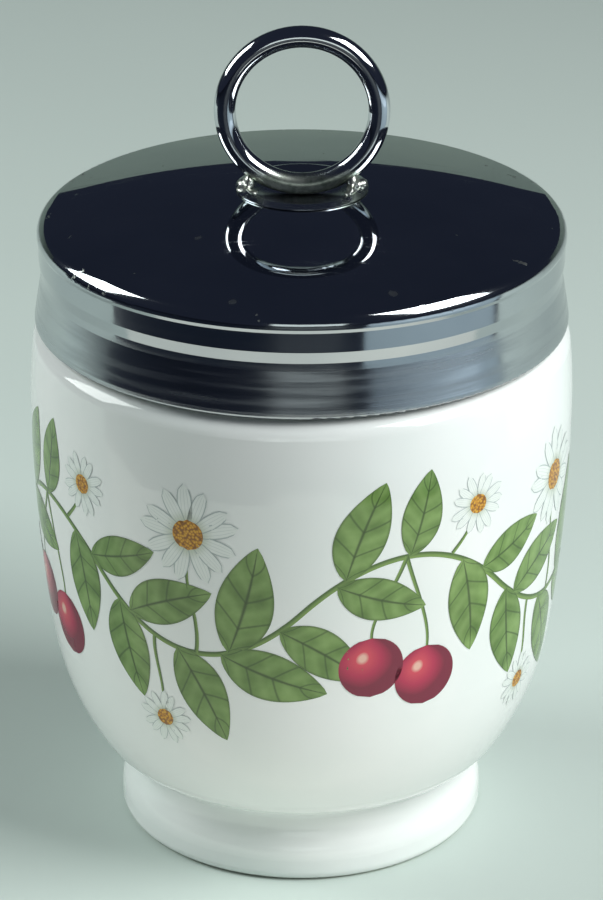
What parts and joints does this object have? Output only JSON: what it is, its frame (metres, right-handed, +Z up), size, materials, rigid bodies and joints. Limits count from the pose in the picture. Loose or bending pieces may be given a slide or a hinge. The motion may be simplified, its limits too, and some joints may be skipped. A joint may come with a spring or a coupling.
{
  "type": "egg coddler",
  "caption": "Porcelain egg coddler: footed cup with a threaded neck, a screw-on domed metal lid and a fixed wire lifting ring.",
  "frame": {"origin": "centre of the foot's underside, on the cup's axis", "axes": "+Z up along the cup's axis; the lifting ring stands in the XZ plane, so +Y points through its finger hole"},
  "size_m": [0.076, 0.076, 0.118],
  "materials": {
    "porcelain": "clear gloss glaze over white porcelain, printed sprigs, bare foot rim",
    "lid_metal": "mirror polish with light wear and small pits",
    "ring_wire": "mirror polish",
    "solder": "uneven polished solder"
  },
  "bodies": {
    "cup": {"cup": "porcelain"},
    "rising_seam": {"saddle_solder": "solder"},
    "lid": {"lid_cap": "lid_metal", "ring_saddle": "lid_metal", "lifting_ring": "ring_wire", "ring_solder_left": "solder", "ring_solder_right": "solder"}
  },
  "joints": [
    {"name": "lid_rise", "type": "slide", "parent": "cup", "child": "rising_seam", "axis": [0, 0, 1], "range_m": [0, 0.01755]},
    {"name": "lid_turn", "type": "hinge", "parent": "rising_seam", "child": "lid", "pos_m": [0, 0, 0.085], "axis": [0, 0, 1], "range_deg": [0, 1260]}
  ],
  "couplings": [
    {"joint": "lid_rise", "follows": "lid_turn", "m_per_rad": 0.00079577}
  ]
}
